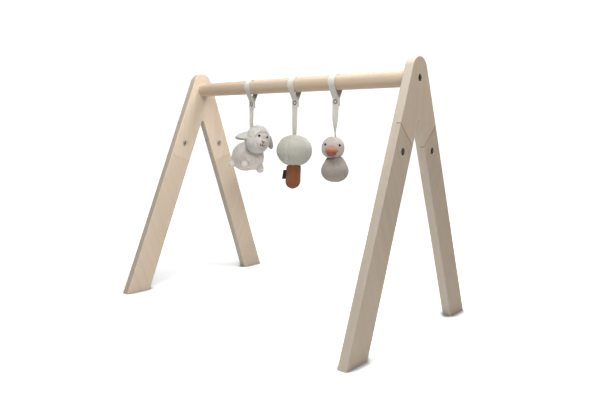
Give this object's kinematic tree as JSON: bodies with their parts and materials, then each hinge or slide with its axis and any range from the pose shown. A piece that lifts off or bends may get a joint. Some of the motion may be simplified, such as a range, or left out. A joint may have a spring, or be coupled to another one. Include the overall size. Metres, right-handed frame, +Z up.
{
  "type": "activity play gym",
  "caption": "Wooden play gym: two rounded A-frames joined by a round bar, with soft sheep, tree and duck toys hung from it on snap ribbons.",
  "frame": {"origin": "on the floor, under the middle of the bar", "axes": "+X along the bar, -Y the side that the toys face, +Z up"},
  "size_m": [0.641, 0.4224, 0.52],
  "materials": {
    "beak_cloth": "matte",
    "beech_bar": "matte",
    "beech_board": "matte",
    "bolt_steel": "satin",
    "crown_knit": "matte",
    "duck_body_cloth": "matte",
    "duck_head_cloth": "matte",
    "eye_thread": "satin",
    "insert_brass": "satin",
    "label_woven": "matte",
    "nose_thread": "matte",
    "nut_steel": "satin",
    "ribbon": "matte",
    "sheep_ear_cloth": "matte",
    "sheep_face_cloth": "matte",
    "sheep_plush": "matte",
    "snap_metal": "satin",
    "stuffing": "matte",
    "trunk_knit": "matte"
  },
  "bodies": {
    "frame": {"bar_bolts": "bolt_steel", "bar_inserts": "insert_brass", "crossbar": "beech_bar", "head_board_left": "beech_board", "head_board_right": "beech_board", "leg_back_left": "beech_board", "leg_back_right": "beech_board", "leg_bolts": "bolt_steel", "leg_front_left": "beech_board", "leg_front_right": "beech_board", "leg_nuts": "nut_steel"},
    "sheep_loop": {"sheep_ribbon_loop": "ribbon", "sheep_snap_socket": "snap_metal", "sheep_snap_rear_ring": "snap_metal"},
    "sheep_snap": {"sheep_snap_ring": "snap_metal", "sheep_snap_stud": "snap_metal"},
    "sheep_strap": {"sheep_ribbon_drop": "ribbon"},
    "sheep_toy": {"sheep_body_cover": "sheep_plush", "sheep_body_stuffing": "stuffing", "sheep_ear_left": "sheep_ear_cloth", "sheep_ear_right": "sheep_ear_cloth", "sheep_eyes": "eye_thread", "sheep_face": "sheep_face_cloth", "sheep_head_cover": "sheep_plush", "sheep_head_stuffing": "stuffing", "sheep_leg_front_left": "sheep_plush", "sheep_leg_front_right": "sheep_plush", "sheep_leg_hind_left": "sheep_plush", "sheep_leg_hind_right": "sheep_plush", "sheep_nose_stitch": "nose_thread", "sheep_ribbon_end": "ribbon"},
    "tree_loop": {"tree_ribbon_loop": "ribbon", "tree_snap_socket": "snap_metal", "tree_snap_rear_ring": "snap_metal"},
    "tree_snap": {"tree_snap_ring": "snap_metal", "tree_snap_stud": "snap_metal"},
    "tree_strap": {"tree_ribbon_drop": "ribbon"},
    "tree_toy": {"tree_crown_cover": "crown_knit", "tree_crown_stuffing": "stuffing", "tree_label": "label_woven", "tree_ribbon_end": "ribbon", "tree_trunk_cover": "trunk_knit", "tree_trunk_stuffing": "stuffing"},
    "duck_loop": {"duck_ribbon_loop": "ribbon", "duck_snap_socket": "snap_metal", "duck_snap_rear_ring": "snap_metal"},
    "duck_snap": {"duck_snap_ring": "snap_metal", "duck_snap_stud": "snap_metal"},
    "duck_strap": {"duck_ribbon_drop": "ribbon"},
    "duck_toy": {"duck_beak_lower": "beak_cloth", "duck_beak_upper": "beak_cloth", "duck_body_cover": "duck_body_cloth", "duck_body_stuffing": "stuffing", "duck_eyes": "eye_thread", "duck_head_cover": "duck_head_cloth", "duck_head_stuffing": "stuffing", "duck_ribbon_end": "ribbon"}
  },
  "joints": [
    {"name": "sheep_slide", "type": "slide", "parent": "frame", "child": "sheep_loop", "axis": [1, 0, 0], "range_m": [-0.06, 0.022]},
    {"name": "sheep_tilt", "type": "hinge", "parent": "sheep_loop", "child": "sheep_snap", "pos_m": [-0.124, 0, 0.441], "axis": [0, -1, 0], "range_deg": [-10, 10]},
    {"name": "sheep_swing", "type": "hinge", "parent": "sheep_snap", "child": "sheep_strap", "pos_m": [-0.124, 0, 0.434], "axis": [1, 0, 0], "range_deg": [-50, 50]},
    {"name": "sheep_twist", "type": "hinge", "parent": "sheep_strap", "child": "sheep_toy", "pos_m": [-0.124, 0, 0.37], "axis": [0, 0, 1], "range_deg": [-90, 90], "stiffness_Nm_per_rad": 0.0005},
    {"name": "tree_slide", "type": "slide", "parent": "frame", "child": "tree_loop", "axis": [1, 0, 0], "range_m": [-0.022, 0.028]},
    {"name": "tree_tilt", "type": "hinge", "parent": "tree_loop", "child": "tree_snap", "pos_m": [0.0125, 0, 0.441], "axis": [0, -1, 0], "range_deg": [-10, 10]},
    {"name": "tree_swing", "type": "hinge", "parent": "tree_snap", "child": "tree_strap", "pos_m": [0.0125, 0, 0.434], "axis": [1, 0, 0], "range_deg": [-50, 50]},
    {"name": "tree_twist", "type": "hinge", "parent": "tree_strap", "child": "tree_toy", "pos_m": [0.0125, 0, 0.37], "axis": [0, 0, 1], "range_deg": [-90, 90], "stiffness_Nm_per_rad": 0.0005},
    {"name": "duck_slide", "type": "slide", "parent": "frame", "child": "duck_loop", "axis": [1, 0, 0], "range_m": [-0.028, 0.085]},
    {"name": "duck_tilt", "type": "hinge", "parent": "duck_loop", "child": "duck_snap", "pos_m": [0.125, 0, 0.441], "axis": [0, -1, 0], "range_deg": [-10, 10]},
    {"name": "duck_swing", "type": "hinge", "parent": "duck_snap", "child": "duck_strap", "pos_m": [0.125, 0, 0.434], "axis": [1, 0, 0], "range_deg": [-50, 50]},
    {"name": "duck_twist", "type": "hinge", "parent": "duck_strap", "child": "duck_toy", "pos_m": [0.125, 0, 0.37], "axis": [0, 0, 1], "range_deg": [-90, 90], "stiffness_Nm_per_rad": 0.0005}
  ]
}
